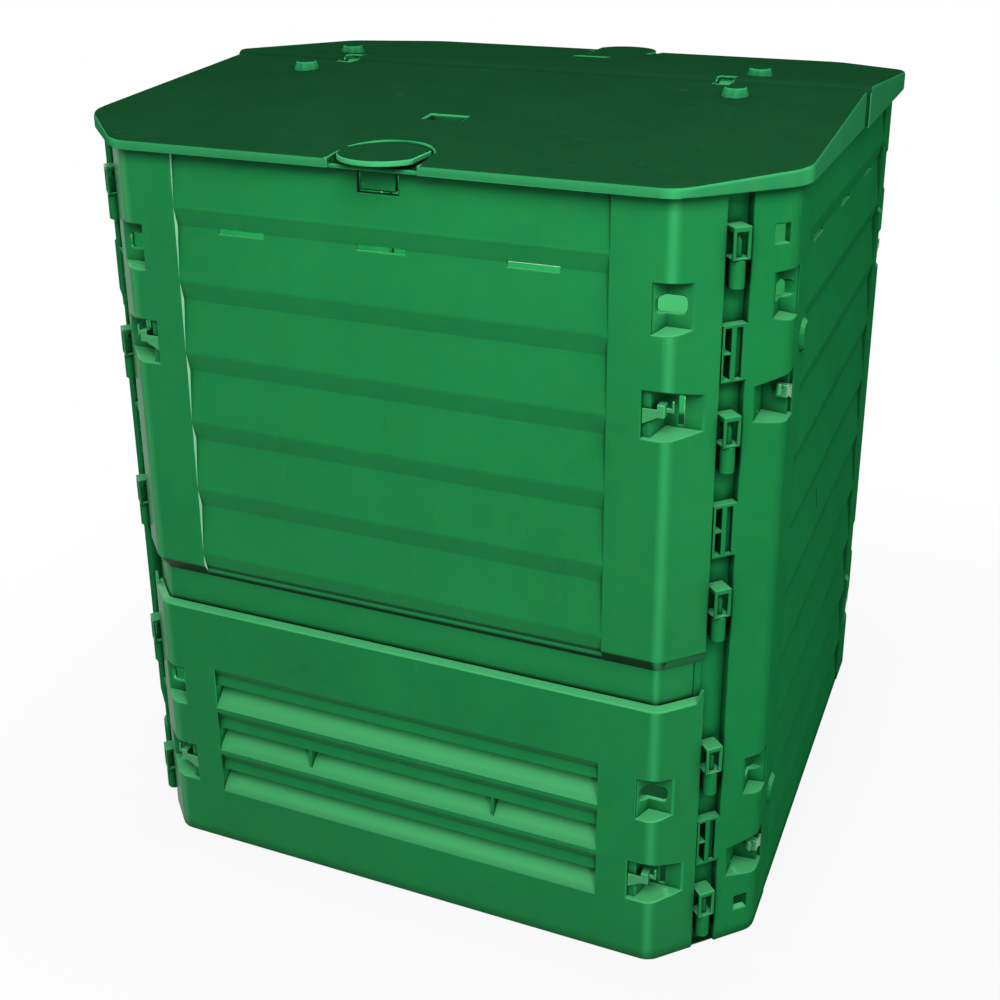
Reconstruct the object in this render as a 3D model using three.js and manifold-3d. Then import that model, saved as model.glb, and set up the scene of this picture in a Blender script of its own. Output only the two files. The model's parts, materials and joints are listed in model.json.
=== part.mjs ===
// A compost bin with a two-part gabled lid, in millimetres, +Z up, the front facing -Y.
// Every wall and lid half is drawn in the place of the front one and turned to its own side.

import * as THREE from 'three'
import { mergeVertices } from 'three/addons/utils/BufferGeometryUtils.js'
import Module from 'manifold-3d'

const wasm = await Module()
wasm.setup()

// Clearances and cutting allowances
const gap = 0.3
const overrun = 6
const bite = 0.5

// Body in plan: a square with its corners cut off at 45 degrees
const bodyWidth = 731
const cornerLeg = 86.3
const cornerRound = 22
const cornerSteps = 4
const wallThickness = 8
const linerThickness = 3

// Clapboard slats, counted from the uppermost sloping band
const slatPitch = 75
const bandHeight = 20
const slatDepth = 5
const slatFieldMargin = 57.7
const firstBandDrop = 85.8
const sideSlatCount = 11
const frontSlatCount = 7

// Air slots under the uppermost band
const slotCount = 3
const slotSpacingShare = 0.3386
const slotLength = 50
const slotHeight = 5
const slotOverlap = 1

// Upper front and back walls
const panelBottom = 351
const panelFootRise = 12.4
const undercutHeight = 14
const skirtDrop = 68
const skirtThickness = 4
const skirtShort = 19

// Removable doors
const doorFoot = 1
const doorTopDrop = 55
const doorTopRise = 3.5
const earRise = 13
const earWidth = 7
const earThickness = 3

// Louvres in the doors
const ventMargin = 0.5
const ventTopDrop = 70.5
const ventCount = 3
const ventPitch = 54.6
const hoodHeight = 21
const hoodDepth = 5
const hoodLipDepth = 2.5
const bladeThickness = 2.5
const scoopTopDrop = 22.5
const scoopBottomDrop = 50
const scoopDepth = 20
const cheekThickness = 3
const gussetSpacingShare = 0.4842
const gussetThickness = 3
const scoopSteps = 4

// Corner joints: barrels with upright pins on the side walls, loops on the front and back walls
const frontShort = 11
const sideShort = 15
const channelDepth = 10
const channelStart = 10
const tonguePast = 18
const tongueBack = 13
const tongueRoot = 23
const topJointDrop = 61.5
const doorJointFoot = 16.8
const doorJointPitch = 173.3
const jointHeight = 56
const barrelHeight = 26
const barrelRadius = 7.5
const barrelSides = 10
const barrelSeatWidth = 10
const jointProud = 8
const pinRadius = 3.5
const pinHeight = 22
const pinTipHeight = 6
const pinTipRadius = 1.2
const loopHalfWidth = 8.7
const loopWindowWidth = 11
const loopPlate = 3
const loopCap = 5
const loopFoot = 2
const webSetBack = 3
const upperJointCount = 3
const doorJointCount = 2

// Ribbed blocks between the joints
const ladderHeightShare = 0.45
const ladderDrop = 2
const ladderRib = 2.3
const ladderMiddle = 4.7
const ladderDeepWidth = 6.7
const ladderShallowWidth = 6.4
const ladderShallowDepth = 4
const ladderFloor = 1

// Windows round the corner edges, in two pairs, one above the other. Their pockets run straight back.
const smallDrop = 155
const doorSmallDrop = 125.5
const smallWindow = {
  height: 47, reach: 18.7, shelfDepth: 1.5, shelfWidth: 1.3, slant: 8, depth: 15,
  floorShare: 0.3, ceilingShare: 0.08
}
const peepStart = 16.7
const peepEnd = 8.8
const peepBottomRise = 17.5
const peepHeight = 16
const peepRound = 5
const peepRoundSteps = 3
const bigDrop = 252.8
const doorBigDrop = 223.3
const bigWindow = {
  height: 46, reach: 25.3, shelfDepth: 3.7, shelfWidth: 8, slant: 8.2, depth: 25.2,
  floorShare: 0.23, ceilingShare: 0.26
}
const stripPlace = 1.8
const stripWidth = 5.5
const stripRise = 8
const stripDrop = 10

// Square holes in the side walls' corner faces
const squareWidth = 15
const squareHeight = 17
const squarePlace = 45
const squareDrop = 74
const squareRise = 40

// Round bosses on the side walls
const bossRadius = 17
const bossTopRadius = 13
const bossProud = 4
const bossSetBack = 51.2
const bossDrop = 185
const bossRise = 141
const bossSides = 16

// Snap clips in the larger windows
const clipSetBack = 1
const clipThickness = 2.4
const clipBlockDepth = 11
const clipArmDepth = 5
const clipArmThickness = 3
const clipReach = 25
const clipPast = 3
const clipTongueLow = 14
const clipTongueHigh = 29
const clipNeckLow = 22
const clipBlockWidth = 7
const clipBlockTop = 34
const clipHookTop = 37
const clipArmHeight = 4
const stemWidth = 3.7
const stemHeight = 7
const stemPlace = 22.45
const stemBottom = 17
const headOversize = 1.5
const headThickness = 2.5

// Lid halves: a sloping plate with a skirt, hinged on a beam under the ridge
const hingeHeight = 827.5
const seamHalf = 1
const lidSlopeShare = 0.08
const lidThickness = 4
const lidSkirtDrop = 32.5
const lidRound = 45
const lidRoundSteps = 5
const lidEdge = 4
const lidEdgeShare = 0.3
const rimWidth = 12
const noseShell = 3
const noseSteps = 4
const bumpSetBack = 115.5
const bumpPlaceY = 55
const bumpHeight = 8
const bumpRadius = 15
const bumpTopRadius = 11.3
const bumpSides = 14
const panWidth = 40
const panLength = 20
const panDepth = 6
const panPlace = 216
const panWall = 3
const frontHalf = { noseRadius: 6.5, overhang: 8.5 }
const rearHalf = { noseRadius: 10.5, overhang: 12.5 }

// Hinges of the lid halves
const hingeSetBack = 141.5
const lugWidth = 15
const lugRadius = 5.5
const lugGap = 0.8
const knuckleWidth = 11.5
const hingePinRadius = 2.5
const hingeBoreGap = 0.3
const pinOverhang = 1
const roundSides = 12
const boreSides = 8

// Beam under the ridge
const beamHalfWidth = 18
const beamDrop = 12.5
const beamHeight = 17
const beamWall = 3.5
const beamEndGap = 2
const gableClearFront = 20
const gableClearRear = 26

// Turning knobs, their wells in the lid and their catches in the walls
const knobSetBack = 17.5
const knobRadius = 43
const knobFlatDepth = 5
const knobThickness = 5
const knobTopRise = 12.5
const knobSides = 32
const knobEdge = 1
const knobBossRadius = 12
const shelfDrop = 9.4
const shelfThickness = 3
const shelfSetBack = 2.5
const wellGap = 2
const wellWall = 3
const wellSides = 20
const spindleRadius = 4.5
const spindleGap = 0.5
const beadProud = 0.8
const beadHeight = 2
const retainerRadius = 8
const retainerThickness = 2.3
const noseLength = 8.4
const noseWidth = 8
const noseHeight = 5.5
const noseGap = 0.5
const spindleTail = 2
const notchMargin = 1
const tabWidth = 37
const slitWidth = 2
const slitTopDrop = 4.5
const slitBottomDrop = 22.5
const ledgeWidth = 28
const ledgeHeight = 4
const ledgeDepth = 3.5
const ledgeDrop = 5.7

// Plan places worked out from the sizes above
const faceHalf = bodyWidth / 2
const cornerStart = faceHalf - cornerLeg
const cornerFace = (cornerStart + faceHalf) / Math.SQRT2
const cornerHalf = cornerLeg / Math.SQRT2
const slatFieldHalf = cornerStart - slatFieldMargin
const ventHalf = slatFieldHalf - ventMargin
const slotSpacing = slotSpacingShare * slatFieldHalf * 2
const gussetPlace = gussetSpacingShare * ventHalf
const jointAxisDepth = barrelRadius - jointProud
const bossPlace = cornerStart - bossSetBack
const bumpPlaceX = faceHalf - bumpSetBack
const hingePlace = faceHalf - hingeSetBack
const hingeBoreRadius = hingePinRadius + hingeBoreGap
const knobFlat = knobRadius - knobFlatDepth
const wellRadius = knobRadius + wellGap
const beadRadius = spindleRadius + beadProud

// Heights worked out from the sizes above
const wallTop = hingeHeight + rearHalf.noseRadius
const beamTop = hingeHeight - beamDrop
const lidSkirtBottom = hingeHeight - lidSkirtDrop
const firstBandTop = hingeHeight - firstBandDrop
const skirtBottom = panelBottom - skirtDrop
const doorTop = panelBottom - doorTopDrop
const ventTop = doorTop - ventTopDrop
const smallHeights = [hingeHeight - smallDrop, doorTop - doorSmallDrop]
const clipHeights = [hingeHeight - bigDrop, doorTop - doorBigDrop]
const squareHeights = [hingeHeight - squareDrop, squareRise]
const bossHeights = [hingeHeight - bossDrop, bossRise]
const topJointTop = hingeHeight - topJointDrop
const lastUpperJointTop = panelBottom + panelFootRise + jointHeight
const upperJointPitch = (topJointTop - lastUpperJointTop) / (upperJointCount - 1)
const upperJointTops = Array.from(
  { length: upperJointCount }, (unused, place) => topJointTop - upperJointPitch * place)
const doorJointTops = Array.from(
  { length: doorJointCount }, (unused, place) => doorJointFoot + jointHeight + doorJointPitch * place)

// Solids from three.js geometries

function bare(geometry) {
  const copy = geometry.clone()
  copy.deleteAttribute('normal')
  copy.deleteAttribute('uv')
  return mergeVertices(copy)
}

function signedVolume(positions, index) {
  const corners = [new THREE.Vector3(), new THREE.Vector3(), new THREE.Vector3()]
  let total = 0
  for (let start = 0; start < index.length; start += corners.length) {
    corners.forEach((corner, place) => corner.fromArray(positions, index[start + place] * 3))
    total += corners[0].dot(corners[1].cross(corners[2]))
  }
  return total
}

function toSolid(geometry) {
  const merged = bare(geometry)
  const vertProperties = new Float32Array(merged.attributes.position.array)
  const triVerts = new Uint32Array(merged.index.array)
  if (signedVolume(vertProperties, triVerts) < 0) {
    triVerts.reverse()
  }
  return new wasm.Manifold(new wasm.Mesh({ numProp: 3, vertProperties, triVerts }))
}

function toGeometry(solid) {
  const mesh = solid.getMesh()
  const geometry = new THREE.BufferGeometry()
  geometry.setAttribute('position', new THREE.BufferAttribute(mesh.vertProperties, 3))
  geometry.setIndex(new THREE.BufferAttribute(mesh.triVerts, 1))
  geometry.computeVertexNormals()
  return geometry
}

function joined(geometries) {
  return geometries.map(toSolid).reduce((whole, next) => whole.add(next))
}

function carved(solid, cuts) {
  return cuts.reduce((rest, cut) => rest.subtract(toSolid(cut)), solid)
}

function mirrored(geometry) {
  return geometry.clone().scale(-1, 1, 1)
}

function bothSides(geometry) {
  return [geometry, mirrored(geometry)]
}

// Basic shapes

function box(x0, x1, y0, y1, z0, z1) {
  const geometry = new THREE.BoxGeometry(x1 - x0, y1 - y0, z1 - z0)
  return geometry.translate((x0 + x1) / 2, (y0 + y1) / 2, (z0 + z1) / 2)
}

function outline(points) {
  return new THREE.Shape(points.map(([across, up]) => new THREE.Vector2(across, up)))
}

function prismUp(points, z0, z1) {
  const geometry = new THREE.ExtrudeGeometry(outline(points), { depth: z1 - z0, bevelEnabled: false })
  return geometry.translate(0, 0, z0)
}

// A prism along X whose outline is given in Y and Z
function prismAlongX(points, x0, x1) {
  const turn = new THREE.Matrix4().makeBasis(
    new THREE.Vector3(0, 1, 0), new THREE.Vector3(0, 0, 1), new THREE.Vector3(1, 0, 0))
  return prismUp(points, x0, x1).applyMatrix4(turn)
}

// A prism along Y whose outline is given in X and Z
function prismAlongY(points, y0, y1) {
  const turn = new THREE.Matrix4().makeBasis(
    new THREE.Vector3(1, 0, 0), new THREE.Vector3(0, 0, 1), new THREE.Vector3(0, -1, 0))
  return prismUp(points, -y1, -y0).applyMatrix4(turn)
}

function postUp(x, y, radius, z0, z1, sides) {
  const geometry = new THREE.CylinderGeometry(radius, radius, z1 - z0, sides)
  return geometry.rotateX(Math.PI / 2).translate(x, y, (z0 + z1) / 2)
}

function rodAlongX(y, z, radius, x0, x1, sides) {
  const geometry = new THREE.CylinderGeometry(radius, radius, x1 - x0, sides)
  return geometry.rotateZ(Math.PI / 2).translate((x0 + x1) / 2, y, z)
}

// A solid of revolution about Z from [radius, height] points
function turned(profile, sides) {
  const geometry = new THREE.LatheGeometry(profile.map(([x, y]) => new THREE.Vector2(x, y)), sides)
  return geometry.rotateX(Math.PI / 2)
}

function arc(centreX, centreY, radius, start, end, steps) {
  return Array.from({ length: steps + 1 }, (unused, step) => {
    const angle = start + (end - start) * step / steps
    return [centreX + radius * Math.cos(angle), centreY + radius * Math.sin(angle)]
  })
}

// A shape drawn on the plane of a front wall, with X along it and Y at minus cornerFace,
// is turned to the right-hand corner face
function onCorner(geometry) {
  return geometry.rotateZ(Math.PI / 4)
}

function heightAt(height, y) {
  return typeof height === 'function' ? height(y) : height
}

// A profile of [depth, height] points carried along the plan line that lineAt gives for each depth.
// A height may also be a function of the place.
function sweep(profile, lineAt) {
  const lines = profile.map(([depth]) => lineAt(depth))
  const size = profile.length
  const stations = lines[0].length
  const positions = []
  const index = []
  for (let station = 0; station < stations; station++) {
    profile.forEach(([, height], place) => {
      const [x, y] = lines[place][station]
      positions.push(x, y, heightAt(height, y))
    })
  }
  for (let station = 0; station + 1 < stations; station++) {
    for (let place = 0; place < size; place++) {
      const here = station * size + place
      const beside = station * size + (place + 1) % size
      index.push(here, beside, beside + size, here, beside + size, here + size)
    }
  }
  const section = profile.map(([depth, height], place) => {
    return new THREE.Vector2(depth, heightAt(height, lines[place][0][1]))
  })
  const forward = THREE.ShapeUtils.area(section) > 0
  const last = (stations - 1) * size
  for (const face of THREE.ShapeUtils.triangulateShape(section, [])) {
    const [a, b, c] = forward ? face : [...face].reverse()
    index.push(c, b, a, last + a, last + b, last + c)
  }
  const geometry = new THREE.BufferGeometry()
  geometry.setAttribute('position', new THREE.Float32BufferAttribute(positions, 3))
  geometry.setIndex(index)
  return geometry
}

// Plan lines

// Round a right-hand corner at a depth behind the faces, from a place on the main face
// to one on the corner face that stops short of its middle
function cornerLine(depth, startX, short) {
  const centreX = cornerStart - cornerRound * Math.tan(Math.PI / 8)
  const centreY = cornerRound - faceHalf
  const bend = arc(centreX, centreY, cornerRound - depth, -Math.PI / 2, -Math.PI / 4, cornerSteps)
  const out = cornerFace - depth
  const end = [(out - short) / Math.SQRT2, (-out - short) / Math.SQRT2]
  return [[startX, depth - faceHalf], ...bend, end]
}

function mirroredLine(points) {
  return points.map(([x, y]) => [-x, y]).reverse()
}

function wallLine(depth, short) {
  const right = cornerLine(depth, 0, short).slice(1)
  return [...mirroredLine(right), ...right]
}

// Wall features shared by all sides

function slatCut(count) {
  const face = -faceHalf
  const points = [[face - overrun, firstBandTop + slatPitch], [face, firstBandTop + slatPitch]]
  for (let slat = 0; slat < count; slat++) {
    const bandTop = firstBandTop + slatPitch * (1 - slat)
    points.push([face + slatDepth, bandTop - bandHeight], [face, bandTop - slatPitch])
  }
  const end = firstBandTop + slatPitch * (1 - count)
  points.push([face - overrun, end])
  return prismAlongX(points, -slatFieldHalf, slatFieldHalf)
}

function slotCuts() {
  const top = firstBandTop - bandHeight + slotOverlap
  return Array.from({ length: slotCount }, (unused, place) => {
    const centre = (place - (slotCount - 1) / 2) * slotSpacing
    return box(
      centre - slotLength / 2, centre + slotLength / 2,
      -faceHalf - overrun, wallThickness + overrun - faceHalf,
      top - slotHeight, top)
  })
}

// The walls of a window's pocket, on the inner side of the wall
function windowLiner(bottom, window) {
  const left = cornerStart - window.reach + window.shelfWidth - linerThickness
  const back = window.depth + linerThickness
  const root = wallThickness - bite - faceHalf
  const plan = [
    [left, root], [left + window.slant, back - faceHalf],
    [cornerStart + back - wallThickness, back - faceHalf], [cornerStart, root]]
  return prismUp(plan, bottom - linerThickness, bottom + window.height + linerThickness)
}

// A window's pocket: in plan a shelf behind the main face, a slanting wall, and a back that runs out
// on the corner face. Its floor rises inwards and its ceiling falls.
function windowCut(bottom, window) {
  const left = cornerStart - window.reach
  const shelfEnd = left + window.shelfWidth
  const right = cornerStart + window.depth + overrun
  const outside = -overrun - faceHalf
  const plan = prismUp([
    [left, outside], [left, window.shelfDepth - faceHalf], [shelfEnd, window.shelfDepth - faceHalf],
    [shelfEnd + window.slant, window.depth - faceHalf], [right, window.depth - faceHalf],
    [right, outside]], bottom - overrun, bottom + window.height + overrun)
  const run = window.depth + overrun
  const top = bottom + window.height
  const slopes = prismAlongX([
    [outside, bottom - overrun * window.floorShare], [run - faceHalf, bottom + run * window.floorShare],
    [run - faceHalf, top - run * window.ceilingShare], [outside, top + overrun * window.ceilingShare]],
  0, bodyWidth)
  return toGeometry(toSolid(plan).intersect(toSolid(slopes)))
}

// The rounded hole through a small window's pocket
function peepCut(bottom) {
  const low = bottom + peepBottomRise
  const high = low + peepHeight
  const start = cornerStart - peepStart
  const end = cornerStart + peepEnd
  const corner = (x, z, angle) => arc(x, z, peepRound, angle, angle + Math.PI / 2, peepRoundSteps)
  const points = [
    ...corner(end - peepRound, high - peepRound, 0),
    ...corner(start + peepRound, high - peepRound, Math.PI / 2),
    ...corner(start + peepRound, low + peepRound, Math.PI),
    ...corner(end - peepRound, low + peepRound, -Math.PI / 2)]
  return prismAlongY(
    points, smallWindow.shelfDepth - faceHalf, smallWindow.depth + linerThickness + overrun - faceHalf)
}

// The slit in the back of a large window's pocket
function stripCut(bottom) {
  const left = cornerStart + stripPlace
  return box(
    left, left + stripWidth,
    bigWindow.depth - overrun / 2 - faceHalf, bigWindow.depth + linerThickness + overrun - faceHalf,
    bottom + stripRise, bottom + bigWindow.height - stripDrop)
}

function stemCut(bottom) {
  const centre = cornerStart - stemPlace
  const half = stemWidth / 2 + gap
  return box(
    centre - half, centre + half,
    bigWindow.shelfDepth - overrun / 2 - faceHalf, wallThickness + overrun / 2 - faceHalf,
    bottom + stemBottom - gap, bottom + stemBottom + stemHeight + gap)
}

function windowFeatures(small, big) {
  return {
    liners: [windowLiner(small, smallWindow), windowLiner(big, bigWindow)].flatMap(bothSides),
    cuts: [
      windowCut(small, smallWindow), windowCut(big, bigWindow),
      peepCut(small), stripCut(big), stemCut(big)].flatMap(bothSides)
  }
}

// Loops of the front and back walls

function loopFrame(top) {
  const foot = top - jointHeight + barrelHeight + gap
  const face = -cornerFace
  const frame = box(-loopHalfWidth, loopHalfWidth, face - jointProud, face + channelDepth - gap, foot, top)
  const web = box(
    -frontShort - bite, -loopHalfWidth + bite,
    face + webSetBack, face + wallThickness - gap, foot, top)
  return [frame, web].map(onCorner)
}

function loopCuts(top) {
  const foot = top - jointHeight + barrelHeight + gap
  const half = loopWindowWidth / 2
  const face = -cornerFace
  const opening = box(
    -half, half, face - jointProud - overrun, face + channelDepth + overrun, foot + loopFoot, top - loopCap)
  const behind = box(
    -loopHalfWidth - bite, loopHalfWidth + overrun,
    face - jointProud + loopPlate, face + channelDepth + overrun, foot + loopFoot, top - loopCap)
  const hole = postUp(
    0, face + jointAxisDepth, pinRadius + gap, foot - overrun, foot + loopFoot + bite, barrelSides)
  return [opening, behind, hole].map(onCorner)
}

// Corner channel, barrels, pins and ribbed blocks of the side walls

function channel() {
  const face = -cornerFace
  const halfThickness = wallThickness / 2
  const points = [
    [-tongueRoot, face + halfThickness], [-sideShort, face + halfThickness],
    [-sideShort, face + channelDepth], [channelStart, face + channelDepth],
    [channelStart, face + wallThickness + gap], [tonguePast, face + wallThickness + gap],
    [tonguePast, face + tongueBack], [-tongueRoot, face + tongueBack]]
  return onCorner(prismUp(points, 0, wallTop))
}

function barrelWithPin(top) {
  const foot = top - jointHeight
  const pinTop = barrelHeight + pinHeight
  const profile = [
    [0, 0], [barrelRadius, 0], [barrelRadius, barrelHeight], [pinRadius, barrelHeight],
    [pinRadius, pinTop - pinTipHeight], [pinTipRadius, pinTop], [0, pinTop]]
  const barrel = turned(profile, barrelSides).translate(0, jointAxisDepth - cornerFace, foot)
  const seat = box(
    -barrelSeatWidth / 2, barrelSeatWidth / 2, jointAxisDepth - cornerFace, channelDepth + bite - cornerFace,
    foot, foot + barrelHeight)
  return [barrel, seat].map(onCorner)
}

// The ribbed blocks stand midway between the joints of one piece, in [centre, height]
function ladderPlaces() {
  return [upperJointTops, doorJointTops].flatMap(tops => tops.slice(1).map((top, place) => {
    const pitch = Math.abs(top - tops[place])
    const centre = (top + tops[place] - jointHeight) / 2 - ladderDrop
    return [centre, (pitch - jointHeight) * ladderHeightShare]
  }))
}

function ladderBlock([centre, height]) {
  const half = height / 2
  return onCorner(box(
    -sideShort - bite, channelStart, -cornerFace, channelDepth + bite - cornerFace,
    centre - half, centre + half))
}

// Two deep cells beside the front or back wall and one tall shallow cell beyond them
function ladderCells([centre, height]) {
  const half = height / 2
  const deepEnd = channelStart - ladderRib
  const deepStart = deepEnd - ladderDeepWidth
  const shallowEnd = deepStart - ladderMiddle
  const cell = (s0, s1, depth, z0, z1) => onCorner(box(
    s0, s1, -cornerFace - overrun, depth - cornerFace, centre + z0, centre + z1))
  return [
    cell(deepStart, deepEnd, tongueBack - ladderFloor, ladderRib - half, -ladderRib / 2),
    cell(deepStart, deepEnd, tongueBack - ladderFloor, ladderRib / 2, half - ladderRib),
    cell(shallowEnd - ladderShallowWidth, shallowEnd, ladderShallowDepth, ladderRib - half, half - ladderRib)]
}

function squareCut(height) {
  return onCorner(box(
    -squarePlace - squareWidth / 2, -squarePlace + squareWidth / 2,
    -cornerFace - overrun, wallThickness + overrun - cornerFace,
    height - squareHeight / 2, height + squareHeight / 2))
}

function boss(height) {
  const deep = bossProud + bite
  const geometry = new THREE.CylinderGeometry(bossRadius, bossTopRadius, deep, bossSides)
  return geometry.translate(bossPlace, -faceHalf - bossProud + deep / 2, height)
}

// Lid heights

function axisReach(half) {
  return seamHalf + half.noseRadius
}

function topAt(half, y) {
  return hingeHeight + half.noseRadius - lidSlopeShare * (Math.abs(y) - axisReach(half))
}

function shelfBottom(half) {
  return topAt(half, faceHalf) - shelfDrop
}

function seatUnder(half, y) {
  return topAt(half, y) - lidThickness - gap
}

// Side walls end in a gable that follows the underside of both lid halves

function gable(frontSign) {
  const line = (half, sign, clear) => [
    [sign * faceHalf, seatUnder(half, faceHalf)], [sign * clear, seatUnder(half, clear)],
    [sign * clear, beamTop], [sign * (beamHalfWidth + gap), beamTop],
    [sign * (beamHalfWidth + gap), beamTop - beamHeight - gap]]
  const front = line(frontHalf, frontSign, gableClearFront)
  const rear = line(rearHalf, -frontSign, gableClearRear)
  const points = [
    [frontSign * faceHalf, -overrun], ...front, ...rear.reverse(), [-frontSign * faceHalf, -overrun]]
  return prismAlongY(points, -bodyWidth, 0)
}

function sideWall(frontSign) {
  const profile = [[0, 0], [wallThickness, 0], [wallThickness, wallTop], [0, wallTop]]
  const windows = smallHeights.map((small, place) => windowFeatures(small, clipHeights[place]))
  const joints = [...upperJointTops, ...doorJointTops].flatMap(barrelWithPin)
  const ladders = ladderPlaces()
  const solid = joined([
    sweep(profile, depth => wallLine(depth, sideShort)),
    ...bothSides(channel()),
    ...windows.flatMap(feature => feature.liners),
    ...joints.flatMap(bothSides),
    ...ladders.map(ladderBlock).flatMap(bothSides),
    ...bossHeights.map(boss).flatMap(bothSides)])
  const cuts = [
    slatCut(sideSlatCount), ...slotCuts(),
    ...windows.flatMap(feature => feature.cuts),
    ...ladders.flatMap(ladderCells).flatMap(bothSides),
    ...squareHeights.map(squareCut).flatMap(bothSides)]
  return carved(solid, cuts).intersect(toSolid(gable(frontSign)))
}

// Front and back upper walls

function upperWall(half) {
  const top = seatUnder(half, faceHalf)
  const notchTop = shelfBottom(half) - gap
  const panel = [
    [0, panelBottom], [wallThickness, panelBottom - undercutHeight], [wallThickness, top], [0, top]]
  const skirtFace = wallThickness + gap
  const skirtBack = skirtFace + skirtThickness
  const skirtTop = panelBottom + skirtThickness
  const skirt = [
    [skirtFace, skirtBottom], [skirtBack, skirtBottom], [skirtBack, skirtTop],
    [wallThickness / 2, skirtTop], [wallThickness / 2, panelBottom - undercutHeight / 2],
    [skirtFace, panelBottom - undercutHeight]]
  const windows = windowFeatures(smallHeights[0], clipHeights[0])
  const solid = joined([
    sweep(panel, depth => wallLine(depth, frontShort)),
    sweep(skirt, depth => wallLine(depth, skirtShort)),
    ...windows.liners,
    ...upperJointTops.flatMap(loopFrame).flatMap(bothSides)])
  const notchHalf = wellRadius + wellWall + notchMargin
  const inner = wallThickness + overrun - faceHalf
  const tabHalf = tabWidth / 2
  const slitHalf = tabHalf + slitWidth
  const cuts = [
    slatCut(frontSlatCount), ...slotCuts(), ...windows.cuts,
    ...upperJointTops.flatMap(loopCuts).flatMap(bothSides),
    box(-notchHalf, notchHalf, -faceHalf - overrun, inner, notchTop, top + overrun),
    box(
      -slitHalf, slitHalf, -faceHalf - overrun, inner,
      notchTop - slitBottomDrop, notchTop - slitBottomDrop + slitWidth),
    ...bothSides(box(
      tabHalf, slitHalf, -faceHalf - overrun, inner, notchTop - slitBottomDrop, notchTop - slitTopDrop))]
  const ledge = box(
    -ledgeWidth / 2, ledgeWidth / 2, wallThickness - bite - faceHalf, wallThickness + ledgeDepth - faceHalf,
    notchTop - ledgeDrop - ledgeHeight, notchTop - ledgeDrop)
  return carved(solid, cuts).add(toSolid(ledge))
}

// Doors

function hoodOutline(top) {
  const face = -faceHalf
  const low = top - hoodHeight
  const mid = top - hoodHeight / 2
  return [
    [face, top], [face + hoodDepth, mid], [face + hoodLipDepth, low],
    [face + hoodLipDepth + bladeThickness, low], [face + hoodDepth + bladeThickness, mid],
    [face + wallThickness, top + bladeThickness], [face, top + bladeThickness]]
}

// Depth of the scoop's front at a share of its height, a quarter-wave from flush to full depth
function scoopLine(top, extra, steps) {
  return Array.from({ length: steps + 1 }, (unused, step) => {
    const share = step / steps
    const depth = scoopDepth * Math.sin(share * Math.PI / 2) ** 2
    const height = top - scoopBottomDrop + (scoopBottomDrop - scoopTopDrop) * share
    return [depth - faceHalf + extra, height - extra / 2]
  })
}

function scoopOutline(top) {
  const front = scoopLine(top, 0, scoopSteps)
  const back = scoopLine(top, bladeThickness, scoopSteps)
  const foot = top - ventPitch - bite
  return [
    [-faceHalf, foot], ...front, ...back.reverse(), [wallThickness - faceHalf, foot]]
}

// The cheek closes a scoop's end behind the door's face
function cheekOutline(top) {
  const back = scoopLine(top, bladeThickness, scoopSteps).reverse()
  return [[bladeThickness - faceHalf, top], [scoopDepth + bladeThickness - faceHalf, top], ...back]
}

function gussetOutline(top) {
  const [foot, ...rest] = scoopLine(top, bite, scoopSteps).slice(1)
  return [[hoodLipDepth - faceHalf, foot[1]], ...rest, [hoodLipDepth - faceHalf, top - hoodHeight + bite]]
}

function door() {
  const profile = [
    [0, doorFoot], [wallThickness, doorFoot], [wallThickness, doorTop + doorTopRise], [0, doorTop]]
  const windows = windowFeatures(smallHeights[1], clipHeights[1])
  const ear = onCorner(prismAlongY([
    [-frontShort - earWidth, doorTop - bite], [-frontShort, doorTop - bite],
    [-frontShort, doorTop + earRise], [-frontShort - bite, doorTop + earRise],
    [-frontShort - earWidth, doorTop]], -cornerFace, earThickness - cornerFace))
  const solid = joined([
    sweep(profile, depth => wallLine(depth, frontShort)),
    ...windows.liners, ...bothSides(ear),
    ...doorJointTops.flatMap(loopFrame).flatMap(bothSides)])
  const ventBottom = ventTop - ventPitch * (ventCount - 1) - scoopBottomDrop
  const opened = carved(solid, [
    ...windows.cuts,
    ...doorJointTops.flatMap(loopCuts).flatMap(bothSides),
    box(-ventHalf, ventHalf, -faceHalf - overrun, wallThickness + overrun - faceHalf, ventBottom, ventTop)])
  const tops = Array.from({ length: ventCount }, (unused, place) => ventTop - ventPitch * place)
  const blades = tops.flatMap(top => [
    prismAlongX(hoodOutline(top), -ventHalf - bite, ventHalf + bite),
    prismAlongX(scoopOutline(top), -ventHalf - bite, ventHalf + bite),
    ...bothSides(prismAlongX(cheekOutline(top), ventHalf - bite, ventHalf + cheekThickness))])
  const gussets = bothSides(prismAlongX(
    gussetOutline(tops[1]), gussetPlace - gussetThickness / 2, gussetPlace + gussetThickness / 2))
  return opened.add(joined([...blades, ...gussets]))
}

// Snap clips

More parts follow.
